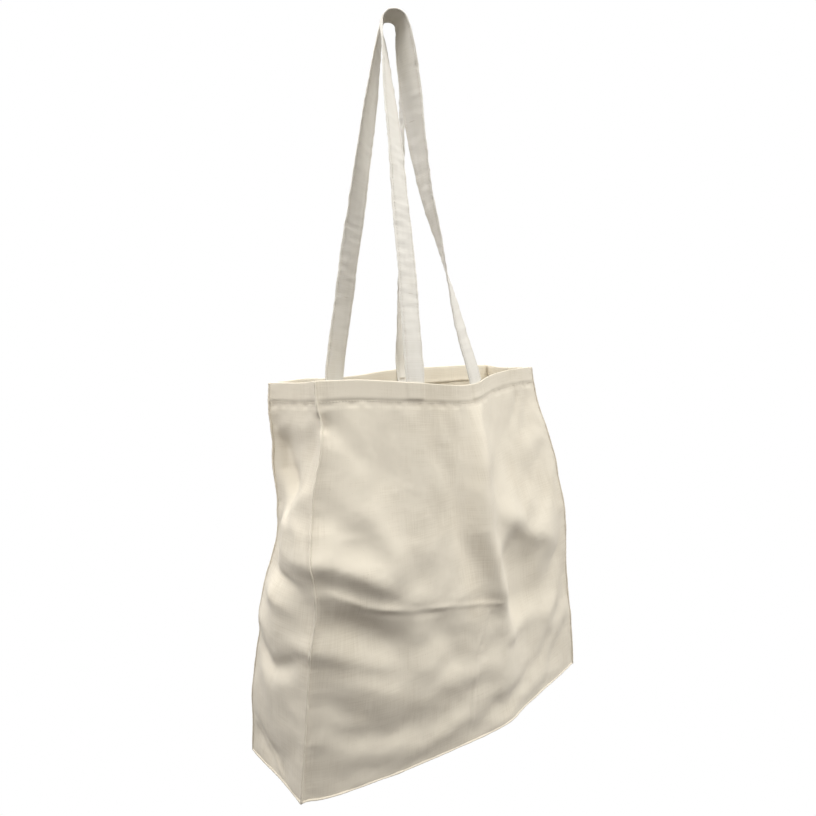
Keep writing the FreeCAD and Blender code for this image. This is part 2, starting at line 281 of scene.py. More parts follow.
def along_line(s, z, line):
    """How far each place is from a line of (s, z) places, its side of it, and its share of the way along."""
    places = np.array(line)
    lengths = np.hypot(*np.diff(places, axis=0).T)
    nearest, side, share = (np.full(s.shape, value) for value in (9.0, 1.0, 0.0))
    for number, (start, end, length) in enumerate(zip(places, places[1:], lengths)):
        ds, dz = ring_gap(s, start[0]), z - start[1]
        run = (end - start) / length
        along = ds * run[0] + dz * run[1]
        off = dz * run[0] - ds * run[1]
        within = np.clip(along, 0, length)
        distance = np.hypot(off, along - within)
        closer = distance < nearest
        side = np.where(closer, np.sign(off), side)
        share = np.where(closer, (lengths[:number].sum() + within) / lengths.sum(), share)
        nearest = np.minimum(nearest, distance)
    return nearest, side, share


def fold_height(s, z, fold):
    """How far one fold lifts each place: full on its line, falling off to both sides and at its ends."""
    line, left, right, height = fold
    distance, side, share = along_line(s, z, line)
    ends = FOLD_END + (1 - FOLD_END) * smooth(np.minimum(share, 1 - share) / FOLD_RISE)
    # the offset rounds the fold's top, and the two terms bring its sides down to the cloth
    reach = np.sqrt((distance / np.where(side > 0, left, right)) ** 2 + 0.02) - 0.141
    return height * ends * np.exp(-reach * (0.7 + 0.6 * reach))


def swayed(points, s, z):
    """The ring with its corners moved sideways and its rim sagging."""
    grid_s, grid_z = np.meshgrid(s, z)
    for place, half_width, profile in SWAYS:
        near = np.exp(-((ring_gap(grid_s, place) / half_width) ** 2))
        points = points + (near * soft_interp(grid_z, *profile, SAG_SOFTNESS))[..., None] * SIDEWAYS
    drop = soft_interp(grid_s, *RIM_SAG, SAG_SOFTNESS) * smooth(grid_z / RIM) ** 2
    return points - drop[..., None] * UP


def folded(points, s, z):
    """The ring with its soft folds, which die out at the stitched rim and at the base."""
    grid_s, grid_z = np.meshgrid(s, z)
    lift = sum(fold_height(grid_s, grid_z, fold) for fold in FOLDS)
    lift *= smooth((RIM - RIM_HELD - grid_z) / RIM_FADE) * smooth((grid_z + BASE_HELD) / BASE_FADE)
    rows = [np.convolve(np.pad(row, 2, "wrap"), CORNER_BLEND, "valid") for row in lift]
    return points + ring_normals(points) * np.stack(rows)[..., None]


# ---------- cloth

# How firmly the free cloth, the seams and the base panel are held, from 0 to 1
HOLD = 0.10
SEAM_HOLD = 0.5
BASE_HOLD = 0.8
SEAM_REACH = 0.006
HEM_MARGIN, HEM_RISE = 0.004, 0.010
FOOT_REACH = 0.006

# How the cloth settles: extra length, frames, gravity, uneven start, and how much of the movement is kept
GROWTH = 0.012
CLOTH_FRAMES = 22
GRAVITY_SHARE = 0.1
JITTER = 0.0002
MOST_MOVED = 0.008
MOVED_SHARE = 0.8
IRONING_ROUNDS = 2
CLOTH_SETTINGS = {
    "quality": 6,
    "mass": 0.05,
    "tension_stiffness": 30,
    "compression_stiffness": 30,
    "shear_stiffness": 12,
    "bending_stiffness": 1.0,
    "air_damping": 2.0,
    "pin_stiffness": 1.0,
    "shrink_min": -GROWTH,
    "shrink_max": -GROWTH,
}


def base_points(ring):
    """The base panel's grid, from the front edge to the back edge, ends on the gussets."""
    gusset, panel = ring_counts()[:2]
    low = ring[0]
    columns = []
    for k in range(panel + 1):
        front = low[gusset + k]
        back = low[(-k) % len(low)]
        share = np.linspace(0, 1, gusset + 1)[:, None]
        columns.append(lerp(front, back, share))
    return np.stack(columns, axis=1)


def join_shell(ring, base):
    """Vertices and quads of the walls and the base as one welded shell."""
    rows, columns = ring.shape[:2]
    gusset, panel = ring_counts()[:2]
    index = np.arange(rows * columns).reshape(rows, columns)
    right = np.roll(index, -1, axis=1)
    walls = np.stack([index[:-1], right[:-1], right[1:], index[1:]], axis=-1).reshape(-1, 4)
    inner = np.arange((gusset - 1) * (panel - 1)).reshape(gusset - 1, panel - 1) + rows * columns
    floor = np.zeros((gusset + 1, panel + 1), int)
    floor[1:-1, 1:-1] = inner
    floor[0] = index[0, gusset:gusset + panel + 1]
    floor[-1] = index[0, (-np.arange(panel + 1)) % columns]
    floor[:, 0] = index[0, gusset - np.arange(gusset + 1)]
    floor[:, -1] = index[0, gusset + panel + np.arange(gusset + 1)]
    quads = np.stack([floor[:-1, :-1], floor[1:, :-1], floor[1:, 1:], floor[:-1, 1:]], axis=-1)
    vertices = np.concatenate([ring.reshape(-1, 3), base[1:-1, 1:-1].reshape(-1, 3)])
    return vertices, np.concatenate([walls, quads.reshape(-1, 4)])


def seam_distance(s):
    """How far each s is from the nearest upright seam."""
    return np.min([np.abs(s - corner) for corner in CORNERS], axis=0)


def held_share(s, z):
    """How firmly each place of the ring is held: the stitched hem, the seams and the base edge."""
    seam = SEAM_HOLD * np.exp(-((seam_distance(s) / SEAM_REACH) ** 2))
    hem = smooth((z - (RIM - HEM - HEM_MARGIN)) / HEM_RISE)
    foot = smooth(1 - z / FOOT_REACH)
    return np.clip(np.maximum.reduce([hem, seam, foot, np.full_like(seam, HOLD)]), 0, 1)


def make_shell(vertices, quads, hold):
    """The shell as cloth, a little uneven, with a vertex group that says how firmly each place is held."""
    start = vertices + RANDOM.normal(0, JITTER, vertices.shape)
    mesh = bpy.data.meshes.new("cloth_shell")
    mesh.from_pydata(start.tolist(), [], quads.tolist())
    shell = bpy.data.objects.new("cloth_shell", mesh)
    bpy.context.scene.collection.objects.link(shell)
    group = shell.vertex_groups.new(name="hold")
    for step in np.unique(np.round(hold, 2)):
        group.add(np.flatnonzero(np.round(hold, 2) == step).tolist(), float(step), "REPLACE")
    cloth = shell.modifiers.new("cloth", "CLOTH")
    for name, value in CLOTH_SETTINGS.items():
        setattr(cloth.settings, name, value)
    cloth.settings.vertex_group_mass = group.name
    cloth.settings.effector_weights.gravity = GRAVITY_SHARE
    cloth.point_cache.frame_end = CLOTH_FRAMES
    return shell


def settled_places(shell):
    """Where the shell's vertices are once its cloth has settled. The shell goes."""
    scene = bpy.context.scene
    for number in range(1, CLOTH_FRAMES + 1):
        scene.frame_set(number)
    evaluated = shell.evaluated_get(bpy.context.evaluated_depsgraph_get())
    found = np.zeros(len(shell.data.vertices) * 3)
    evaluated.data.vertices.foreach_get("co", found)
    scene.frame_set(1)
    bpy.data.objects.remove(shell)
    return found.reshape(-1, 3)


def simulate(ring, base, s, z):
    """Lets the shell settle as cloth with a little more length than its outline, so that it buckles."""
    vertices, quads = join_shell(ring, base)
    on_walls = ring[..., 0].size
    on_base = np.full(len(vertices) - on_walls, BASE_HOLD)
    hold = np.concatenate([held_share(*np.meshgrid(s, z)).ravel(), on_base])
    moved = settled_places(make_shell(vertices, quads, hold)) - vertices
    far = np.linalg.norm(moved, axis=1, keepdims=True)
    moved = moved * np.minimum(1, MOST_MOVED / np.maximum(far, 1e-9))
    new_ring = ring + MOVED_SHARE * ironed(moved[:on_walls].reshape(ring.shape))
    new_base = base.copy()
    new_base[1:-1, 1:-1] += moved[on_walls:].reshape(base[1:-1, 1:-1].shape)
    return new_ring, joined_base(new_base, new_ring)


def ironed(moved):
    """The movement of the ring without its finest wrinkles: heavy canvas keeps only broad ones."""
    for _ in range(IRONING_ROUNDS):
        moved = (np.roll(moved, 1, axis=1) + 2 * moved + np.roll(moved, -1, axis=1)) / 4
        padded = np.concatenate([moved[:1], moved, moved[-1:]])
        moved = (padded[:-2] + 2 * moved + padded[2:]) / 4
    return moved


def joined_base(base, ring):
    """The base grid with its edges on the ring's lowest row."""
    edges = base_points(ring)
    base[0], base[-1] = edges[0], edges[-1]
    gusset, panel = ring_counts()[:2]
    base[:, 0] = ring[0, gusset - np.arange(gusset + 1)]
    base[:, -1] = ring[0, gusset + panel + np.arange(gusset + 1)]
    return base


# ---------- fine grids

# The fine relief dies out over this distance at the seams and at the base
EDGE_FADE = 0.006


def resampled(grid, places, axis):
    """Catmull-Rom points of a grid at fractional row or column places."""
    grid = np.moveaxis(grid, axis, 0)
    last = len(grid) - 1
    first = np.clip(np.floor(places).astype(int), 0, last - 1)
    f = (places - first).reshape(-1, *[1] * (grid.ndim - 1))
    before, after = np.clip(first - 1, 0, last), np.clip(first + 2, 0, last)
    p0, p1, p2, p3 = grid[before], grid[first], grid[first + 1], grid[after]
    squared = 2 * p0 - 5 * p1 + 4 * p2 - p3
    cubed = 3 * p1 - p0 - 3 * p2 + p3
    curve = 2 * p1 + (p2 - p0) * f + squared * f**2 + cubed * f**3
    return np.moveaxis(curve / 2, 0, axis)


def grid_normals(grid):
    """Unit normals of a grid whose columns run with s and whose rows run up."""
    return unit(np.cross(np.gradient(grid, axis=1), np.gradient(grid, axis=0)))


def row_heights():
    """Heights of the fine rows, closest together at the hem."""
    body = np.arange(0, RIM - HEM - 0.006, FINE)
    return np.concatenate([body, np.arange(body[-1] + FINEST, RIM - 0.0004, FINEST), [RIM]])


def wall_grid(ring, z, wall):
    """One wall's fine grid of points, with s of its columns and z of its rows."""
    number = WALLS.index(wall)
    counts = ring_counts()
    first = sum(counts[:number])
    columns = np.take(ring, range(first, first + counts[number] + 1), axis=1, mode="wrap")
    places = np.arange(0, counts[number] + 0.25, 0.5)
    fine = resampled(columns, places, 1)
    heights = row_heights()
    fine = resampled(fine, np.interp(heights, z, np.arange(len(z))), 0)
    s = np.interp(places, [0, counts[number]], [CORNERS[number], CORNERS[number + 1]])
    return fine, s, heights


# Share of a pressed line's length over which it grows at each end, and how far a strap fills out the hem
PRESSED_ENDS = 0.06
STRAP_FULLNESS = 0.0011

# Pressed lines: places on the line, half width, height
MID_BACK = CORNERS[3] + PANEL / 2
LEFT_MIDDLE, RIGHT_MIDDLE = GUSSET / 2, GUSSET / 2 + CORNERS[2]
PRESSED = [
    (((0.103, 0.225), (0.150, 0.201), (0.205, 0.186), (0.280, 0.170), (0.352, 0.155)), 0.0022, 0.0012),
    (((0.150, 0.195), (0.205, 0.180), (0.260, 0.168)), 0.0030, -0.0008),
    (((0.324, 0.154), (0.304, 0.110), (0.294, 0.006)), 0.0022, 0.0009),
    (((0.329, 0.150), (0.311, 0.110)), 0.0030, -0.0009),
    (((0.640, 0.205), (0.850, 0.196), (1.045, 0.208)), 0.0022, -0.0011),
    (((MID_BACK, 0.380), (MID_BACK - 0.004, 0.200), (MID_BACK, 0.006)), 0.0022, 0.0010),
    (((LEFT_MIDDLE, 0.385), (LEFT_MIDDLE, 0.055)), 0.0020, -0.0006),
    (((0.004, 0.044), (0.030, 0.024), (0.066, 0.003)), 0.0024, 0.0014),
    (((RIGHT_MIDDLE, 0.385), (RIGHT_MIDDLE, 0.055)), 0.0020, -0.0009),
    (((CORNERS[2] + 0.002, 0.004), (RIGHT_MIDDLE, 0.055)), 0.0022, 0.0012),
    (((CORNERS[3] - 0.002, 0.004), (RIGHT_MIDDLE, 0.055)), 0.0022, 0.0012),
]


# Waves summed for one noise, and the noises in the cloth's face: wavelength, height, seed
WAVES = 28
CRUMPLES = ((0.060, 0.0004, 11), (0.014, 0.00006, 12))
SEAM_GATHER = (0.014, 0.0004, 31)
CRUMPLE_IN_HEM = 0.25


def wave_noise(x, y, scale, seed):
    """Smooth seeded noise from -1 to 1 or so, as a sum of plane waves about one wavelength long."""
    random = np.random.default_rng(seed)
    total = np.zeros(np.broadcast(x, y).shape)
    for _ in range(WAVES):
        angle, phase = random.uniform(0, 2 * math.pi, 2)
        size = random.uniform(0.6, 1.6) * 2 * math.pi / scale
        total += np.sin(size * (x * math.cos(angle) + y * math.sin(angle)) + phase)
    return total / math.sqrt(WAVES)


def line_noise(x, scale, seed):
    """The same noise along one line."""
    return wave_noise(x, 0 * x, scale, seed)


def strap_places():
    """s of the middle of each strap foot, found from the handles' hinges."""
    found = []
    t = np.linspace(0, 1, 400)
    for name in HANDLES:
        middle, along = handle_joint(name)
        wall = name.replace("handle", "panel")
        edge = wall_point(wall, t, np.full_like(t, RIM))
        for side in (-1, 1):
            foot = middle + along * side * STRAP_SPREAD / 2
            nearest = np.argmin(np.hypot(edge[:, 0] - foot[0], edge[:, 1] - foot[1]))
            found.append(CORNERS[WALLS.index(wall)] + t[nearest] * PANEL)
    return found


def pressed_height(s, z):
    """Height of the lines that were pressed into the cloth when it lay folded."""
    height = np.zeros(s.shape)
    uneven = 0.7 + 0.3 * wave_noise(s, z, 0.05, 3)
    for line, half_width, rise in PRESSED:
        distance, _, share = along_line(s, z, line)
        ends = smooth(share / PRESSED_ENDS) * smooth((1 - share) / PRESSED_ENDS)
        height += rise * ends * uneven * np.exp(-((distance / half_width) ** 2))
    return height


def hem_height(s, z):
    """Height of the hem's face: drawn in along its stitches, puckered below them, full over the straps."""
    above = z - HEM_STITCH
    drawn_in = 0.0006 * (0.75 + 0.35 * line_noise(s, 0.011, 21))
    pucker = 0.0005 * (1 + 0.6 * line_noise(s, 0.016, 22))
    height = 0.0003 * smooth(above / 0.004)
    height -= drawn_in * np.exp(-((above / 0.0016) ** 2))
    height -= pucker * np.exp(-(((above + 0.0035) / 0.0030) ** 2))
    for place in strap_places():
        inside = smooth((STRAP / 2 + 0.001 - np.abs(s - place)) / 0.002)
        height += STRAP_FULLNESS * inside * smooth((above - 0.001) / 0.003)
    return height


def relief(s, z):
    """Fine height of the outer face: pressed lines, crumples, the hem and the gather beside the seams."""
    crumple = sum(wave_noise(s, z, scale, seed) * height for scale, height, seed in CRUMPLES)
    crumple *= lerp(CRUMPLE_IN_HEM, 1.0, smooth((RIM - HEM - z) / 0.02))
    scale, height, seed = SEAM_GATHER
    gather = height * wave_noise(0 * s, z, scale, seed) * np.exp(-((seam_distance(s) / 0.007) ** 2))
    return pressed_height(s, z) + crumple + hem_height(s, z) + gather


def turned_rim(grid, normals):
    """The wall's rows with the rim's fold and the layer turned down inside it as more rows."""
    rows = []
    for turn in np.radians((45, 90, 135)):
        inward = (1 - math.cos(turn)) * CANVAS
        lift = math.sin(turn) * CANVAS * 0.9
        rows.append(grid[-1] - normals[-1] * inward + UP * lift)
    for drop in np.arange(0.001, HEM, FINE):
        source = np.searchsorted(row_heights(), RIM - drop) - 1
        rows.append(grid[source] - normals[source] * HEM_IN)
    return np.concatenate([grid, np.stack(rows)])


def make_mesh(name, vertices, faces, uvs=None):
    """A smooth mesh object from points and faces, with one UV pair for each vertex."""
    mesh = bpy.data.meshes.new(name)
    mesh.from_pydata(np.asarray(vertices).reshape(-1, 3).tolist(), [], [list(map(int, f)) for f in faces])
    if uvs is not None:
        layer = mesh.uv_layers.new(name="cloth")
        loops = np.zeros(len(mesh.loops), int)
        mesh.loops.foreach_get("vertex_index", loops)
        layer.data.foreach_set("uv", np.asarray(uvs).reshape(-1, 2)[loops].astype(np.float32).ravel())
    mesh.polygons.foreach_set("use_smooth", [True] * len(mesh.polygons))
    mesh.update()
    piece = bpy.data.objects.new(name, mesh)
    bpy.context.scene.collection.objects.link(piece)
    return piece


def grid_faces(rows, columns, closed=False):
    """Quads of a grid, row by row, facing out where columns run with s."""
    index = np.arange(rows * columns).reshape(rows, columns)
    right = np.roll(index, -1, axis=1)
    if not closed:
        index, right = index[:, :-1], right[:, :-1]
    return np.stack([index[:-1], right[:-1], right[1:], index[1:]], axis=-1).reshape(-1, 4)


def finish_cloth(piece, material, node_names):
    """Gives a cloth piece its thickness, material and body, and hides the frame's parts that it stands for.
    """
    solid = piece.modifiers.new("thickness", "SOLIDIFY")
    solid.thickness = CANVAS
    solid.offset = -1
    piece.data.materials.append(material)
    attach(piece, "bag")
    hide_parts(*node_names)


def make_wall(ring, z, wall, material):
    """One upright panel with its turned hem. Returns the fine outer grid, its normals and z of its rows."""
    grid, s, heights = wall_grid(ring, z, wall)
    grid_s, grid_z = np.meshgrid(s, heights)
    fade = smooth((grid_s - s[0]) / EDGE_FADE) * smooth((s[-1] - grid_s) / EDGE_FADE)
    fade = fade * smooth(grid_z / EDGE_FADE)
    grid = grid + grid_normals(grid) * (relief(grid_s, grid_z) * fade)[..., None]
    normals = grid_normals(grid)
    whole = turned_rim(grid, normals)
    rows, columns = whole.shape[:2]
    uvs = np.stack(np.meshgrid(s, travel_along(whole[:, columns // 2])), axis=-1)
    piece = make_mesh(f"{wall}_cloth", whole, grid_faces(rows, columns), uvs)
    side = wall.split("_")[0]
    finish_cloth(piece, material, [wall, f"{side}_hem"])
    return {"grid": grid, "normals": normals, "z": heights}


def make_base(base, material):
    """The base panel."""
    grid = resampled(base, np.arange(0, len(base) - 0.75, 0.5), 0)
    grid = resampled(grid, np.arange(0, base.shape[1] - 0.75, 0.5), 1)
    rows, columns = grid.shape[:2]
    uvs = np.stack(np.meshgrid(np.linspace(0, PANEL, columns), np.linspace(0, GUSSET, rows)), axis=-1)
    piece = make_mesh("base_panel_cloth", grid, grid_faces(rows, columns)[:, ::-1], uvs)
    finish_cloth(piece, material, ["base_panel"])


# ---------- seams and stitches


# The seam's ridge in section: points (along its side, out of the cloth)
SEAM_PROFILE = np.array([
    (-0.0013, -0.0006), (-0.0009, 0.0005), (0.0, 0.0010),
    (0.0009, 0.0005), (0.0013, -0.0006), (0.0, -0.0014),
])

# How much the gather swells the seam with each stitch and unevenly, and the stitch it follows
GATHER = 0.10
UNEVEN = 0.12
SEAM_STITCH = 0.0064

# What the base seams add to their path and to the way out: they lie just above the edge and turn under it
BASE_SEAM_LIFT = 0.0006
BASE_SEAM_TURN = -0.35

UPRIGHT_SEAMS = (
    ("front_left_seam", "left_gusset", "front_panel"),
    ("front_right_seam", "front_panel", "right_gusset"),
    ("back_right_seam", "right_gusset", "back_panel"),
    ("back_left_seam", "back_panel", "left_gusset"),
)


def closed_tube(name, rings):
    """A tube mesh with closed ends."""
    count, around = rings.shape[:2]
    faces = [list(f) for f in grid_faces(count, around, closed=True)]
    faces.append(list(range(around))[::-1])
    faces.append(list(range((count - 1) * around, count * around)))
    along = np.arange(count)[:, None] * FINE + np.zeros(around)
    across = np.linspace(0, 0.008, around) + np.zeros((count, 1))
    return make_mesh(name, rings, faces, np.stack([across, along], axis=-1))


def make_seam(node_name, path, out, material):
    """A turned seam: a low rounded ridge with the gather of its stitches."""
    side = unit(np.cross(unit(np.gradient(path, axis=0)), out))
    length = travel_along(path)
    swell = 1 + GATHER * np.sin(length * 2 * math.pi / SEAM_STITCH) + UNEVEN * line_noise(length, 0.02, 41)
    section = side[:, None] * SEAM_PROFILE[:, :1] + out[:, None] * SEAM_PROFILE[:, 1:]
    piece = closed_tube(f"{node_name}_cloth", path[:, None] + section * swell[:, None, None])
    piece.data.materials.append(material)
    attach(piece, "bag")
    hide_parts(node_name)


def make_seams(walls, material):
    """Four upright seams and four round the base."""
    for name, before, after in UPRIGHT_SEAMS:
        out = unit(walls[before]["normals"][:, -1] + walls[after]["normals"][:, 0])
        make_seam(name, walls[after]["grid"][:, 0], out, material)
    for wall in WALLS:
        path = walls[wall]["grid"][0] + UP * BASE_SEAM_LIFT
        out = unit(walls[wall]["normals"][0] * LEVEL + UP * BASE_SEAM_TURN)
        make_seam(f"base_{wall.split('_')[0]}_seam", path, out, material)


# One stitch: points (along it, across it, out of the cloth), as shares of half its length and of its width
STITCH = np.array([
    (-1.0, 0, 0), (-0.55, 0.5, 0.5), (-0.55, -0.5, 0.5), (0.55, 0.5, 0.5), (0.55, -0.5, 0.5), (1.0, 0, 0),
])
STITCH_FACES = [(0, 2, 1), (1, 2, 4, 3), (3, 4, 5), (0, 1, 3, 5), (0, 5, 4, 2)]

# Pitch, length and width of a stitch
PLAIN_STITCH = (0.0032, 0.0025, 0.0005)
TACK_STITCH = (0.0020, 0.0022, 0.0006)
THREAD_LIFT = 0.0002


def stitch_row(path, out, kind):
    """Vertices of one row of stitches that lie along a path."""
    pitch, length, width = kind
    travel = travel_along(path)
    middles = np.arange(pitch / 2, travel[-1], pitch)
    centre = path_at(travel, path, middles)
    normal = path_at(travel, out, middles)
    run = unit(path_at(travel, path, middles + 0.0005) - centre)
    side = np.cross(normal, run)
    along, across, up = (STITCH[None, :, k:k + 1] for k in range(3))
    points = centre[:, None] + run[:, None] * along * length / 2
    points = points + side[:, None] * across * width + normal[:, None] * up * width
    return points.reshape(-1, 3)


def make_stitches(name, rows, material, kind=PLAIN_STITCH):
    """One object of thread: every row of stitches given, as (path, out) pairs."""
    points = np.concatenate([stitch_row(path, out, kind) for path, out in rows])
    count = len(points) // len(STITCH)
    faces = [[corner + k * len(STITCH) for corner in face] for k in range(count) for face in STITCH_FACES]
    piece = make_mesh(name, points, faces)
    piece.data.materials.append(material)
    return piece


def hem_stitches(walls, material):
    """The row that holds the hem, right round the outside."""
    rows = []
    for wall in WALLS:
        data = walls[wall]
        row = np.argmin(np.abs(data["z"] - HEM_STITCH))
        out = data["normals"][row]
        rows.append((data["grid"][row] + out * THREAD_LIFT, out))
    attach(make_stitches("hem_stitching", rows, material), "bag")


# ---------- handles

# The loops' middles, their radius over a round support, and the way across that support
LOOPS = {
    "front_handle": np.array([-0.0695, -0.0077, 0.783]),
    "back_handle": np.array([-0.0535, 0.0150, 0.795]),
}
LOOP_RADIUS = 0.0115
PEG = math.radians(70)
ACROSS_PEG = np.array([math.sin(PEG), -math.cos(PEG), 0])
ARCH_POINTS = 13

# How far down the hem a leg is sewn, its gap from the hem, and the wall's columns to each side of its middle
FOOT_DEPTH = 0.019
STRAP_GAP = 0.0002
FOOT_COLUMNS = 5

# Rounding of the strap's path at the loop, on the legs and at its ends, and the loop's reach to each side
LOOP_ROUNDING, LEG_ROUNDING, END_ROUNDING = 0.005, 0.022, 0.004
LOOP_REACH = 0.05

# How slack each leg hangs: (height, share of the way from the loop out to the foot)
LEGS = {
    "front_handle": (((0.740, 0.16), (0.667, 0.38), (0.600, 0.57)),
                     ((0.700, 0.13), (0.611, 0.31), (0.557, 0.50), (0.470, 0.77))),
    "back_handle": (((0.610, 0.50),), ((0.700, 0.20), (0.600, 0.48))),
}

# Plan angle of the strap's width in degrees at shares of its length, between feet that lie along the wall
HANDLE_TWIST = {
    "front_handle": (
        (0.22, 0.38, 0.46, 0.50, 0.54, 0.59, 0.64, 0.69, 0.75, 0.81, 0.88),
        (12, 28, 50, 74, 104, 116, 101, 86, 73, 53, 26),
    ),
    "back_handle": (
        (0.22, 0.38, 0.46, 0.50, 0.54, 0.62, 0.78, 0.90),
        (8, 26, 46, 68, 76, 66, 40, 14),
    ),
}
TWIST_SOFTNESS = 0.02
FOOT_SHARE = 0.045

# Cross creases where the straps lay folded: shares of the length, their half width as a share, their height
CROSS_CREASES = {
    "front_handle": (0.055, 0.115, 0.325, 0.690, 0.900),
    "back_handle": (0.120, 0.225, 0.640, 0.830),
}
CREASE_SHARE = 0.0022
CREASE = 0.0007

# Unevenness of each strap: first seed, the length its noise spans, how much it wavers, cups and ripples
STRAP_SEED = {"front_handle": 51, "back_handle": 52}
NOISE_LENGTH = 0.85
WAVER = 0.020
CUP = 0.0012
RIPPLE = 0.00028

# This far above the rim a leg is free of the wall's shape, and it comes free of it over this height
SEWN_RISE, SEWN_FADE = 0.030, 0.026

# Sewing lines as points of the section, the strap's unsewn end rings, the tacks' rows and their lift
SEWN_POINTS = (3, 10, 16, 23)
SEWING_MARGIN = 4
TACK_ROWS = (-0.0009, 0, 0.0009)
TACK_LIFT = 0.0001


def handle_feet(name, walls):
    """Where each of a handle's legs lies inside the hem, and how far the wall bows out across it."""
    middle, axis = handle_joint(name)
    wall = walls[name.replace("handle", "panel")]
    low = np.searchsorted(wall["z"], RIM - FOOT_DEPTH)
    feet = []
    for side in (-1, 1):
        wanted = middle + axis * side * STRAP_SPREAD / 2
        column = np.argmin(np.abs((wall["grid"][-1] - wanted) @ axis))
        columns = slice(column - FOOT_COLUMNS, column + FOOT_COLUMNS + 1)
        rim = wall["grid"][-1, columns]
        along = unit((rim[-1] - rim[0]) * LEVEL)
        along *= np.sign(along[0])
        out = np.array([along[1], -along[0], 0]) * (1 if name == "front_handle" else -1)
        inset = (HEM_IN + STRAP_GAP + STRAP_THICK / 2) * out
        order = np.argsort(rim @ along)
        offsets = (rim - rim.mean(axis=0))[order]
        feet.append({
            "rim": rim.mean(axis=0) - inset,
            "end": wall["grid"][low, columns].mean(axis=0) - inset,
            "out": out,
            "along": along,
            "angle": math.degrees(math.atan2(along[1], along[0])),
            "bow": (offsets @ along, offsets @ out),
        })
    return feet


def handle_path(name, feet):
    """Points along one handle from foot to foot over its loop, and their shares of the way."""
    centre = LOOPS[name]
    sides = []
    for side, foot, slack in zip((-1, 1), feet, LEGS[name]):
        top = centre + ACROSS_PEG * side * LOOP_RADIUS
        knots = [np.append(lerp(top, foot["rim"], share)[:2], height) for height, share in slack]
        sides.append([*knots, foot["rim"] + (foot["rim"] - foot["end"]) / 4, foot["end"]])
    turns = np.linspace(math.pi, 0, ARCH_POINTS)
    arch = [centre + (ACROSS_PEG * math.cos(a) + UP * math.sin(a)) * LOOP_RADIUS for a in turns]
    points = np.array([*reversed(sides[0]), *arch, *sides[1]])
    travel = travel_along(points)
    places = np.linspace(0, travel[-1], int(travel[-1] / FINE))
    from_loop = np.abs(places - travel[len(sides[0]) + ARCH_POINTS // 2])
    from_end = np.minimum(places, travel[-1] - places)
    soft = np.where(from_loop < LOOP_REACH, LOOP_ROUNDING, LEG_ROUNDING)
    soft = np.minimum(soft, END_ROUNDING + from_end / 3)
    line = np.stack([soft_interp(places, travel, points[:, k], soft) for k in range(3)], axis=1)
    return line, places / travel[-1]


def strap_profile():
    """Points round the strap's section, across and through it, as shares of half its width and thickness."""
    across = np.array([-1, -0.97, -0.88, -0.80, -0.72, -0.45, -0.15, 0.15, 0.45, 0.72, 0.80, 0.88, 0.97, 1])
    through = np.array([0, 0.75, 1, 0.72, 1, 1.02, 0.98, 0.98, 1.02, 1, 0.72, 1, 0.75, 0])
    return np.concatenate([across, across[-2:0:-1]]), np.concatenate([through, -through[-2:0:-1]])


def strap_directions(name, line, share, feet):
    """Unit vectors across the strap's width and out of its face at each point of its path."""
    run = unit(np.gradient(line, axis=0))
    places, angles = HANDLE_TWIST[name]
    left, right = (foot["angle"] for foot in feet)
    places = (0, FOOT_SHARE, *places, 1 - FOOT_SHARE, 1)
    angle = np.radians(soft_interp(share, places, (left, left, *angles, right, right), TWIST_SOFTNESS))
    width = np.stack([np.cos(angle), np.sin(angle), np.zeros_like(angle)], axis=1)
    width = unit(width - run * np.sum(width * run, axis=1, keepdims=True))
    return width, np.cross(run, width)


def strap_crumple(name, share, across, across_share):
    """How far each point of the strap stands off its flat section: cupped, rippled and creased."""
    seed = STRAP_SEED[name]
    length = share * NOISE_LENGTH
    cup = CUP * line_noise(length, 0.12, seed + 2)[:, None] * (across_share**2 - 0.4)
    ripple = RIPPLE * wave_noise(length[:, None], across * 0.35, 0.012, seed + 4)
    crease = sum(np.exp(-(((share - place) / CREASE_SHARE) ** 2)) for place in CROSS_CREASES[name])
    return cup + ripple + CREASE * crease[:, None] * (1 - 0.4 * across_share)


def strap_rings(name, feet):
    """The strap's sections along its path, and the way out of its face at each."""
    line, share = handle_path(name, feet)
    width, face = strap_directions(name, line, share, feet)
    across_share, through_share = strap_profile()
    waver = line_noise(share * NOISE_LENGTH, 0.03, STRAP_SEED[name])
    across = across_share * (STRAP / 2 * (1 + WAVER * waver))[:, None]
    sewn = smooth((RIM + SEWN_RISE - line[:, 2]) / SEWN_FADE)[:, None]
    crumple = strap_crumple(name, share, across, across_share)
    through = through_share * STRAP_THICK / 2 + crumple * (1 - sewn)
    rings = line[:, None] + width[:, None] * across[..., None] + face[:, None] * through[..., None]
    for foot, leg in zip(feet, (share < 0.5, share >= 0.5)):
        bow = np.interp(across, *foot["bow"]) * sewn * leg[:, None]
        rings = rings + bow[..., None] * foot["out"]
    return rings, face


def make_handle(name, walls, material, thread):
    """One strap with its edge stitching, and the bar tacks that hold its ends to the hem."""
    feet = handle_feet(name, walls)
    rings, face = strap_rings(name, feet)
    strap = closed_tube(f"{name}_strap", rings)
    strap.data.materials.append(material)
    inner = slice(SEWING_MARGIN, -SEWING_MARGIN)
    front_points = rings.shape[1] // 2 + 1
    rows = [(rings[inner, k], face[inner] * (1 if k < front_points else -1)) for k in SEWN_POINTS]
    sewing = make_stitches(f"{name}_stitching", rows, thread)
    for part in (strap, sewing):
        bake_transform(part)
    side = name.split("_")[0]
    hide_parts(name, f"{side}_left_strap_end", f"{side}_right_strap_end")
    make_tacks(side, feet, thread)


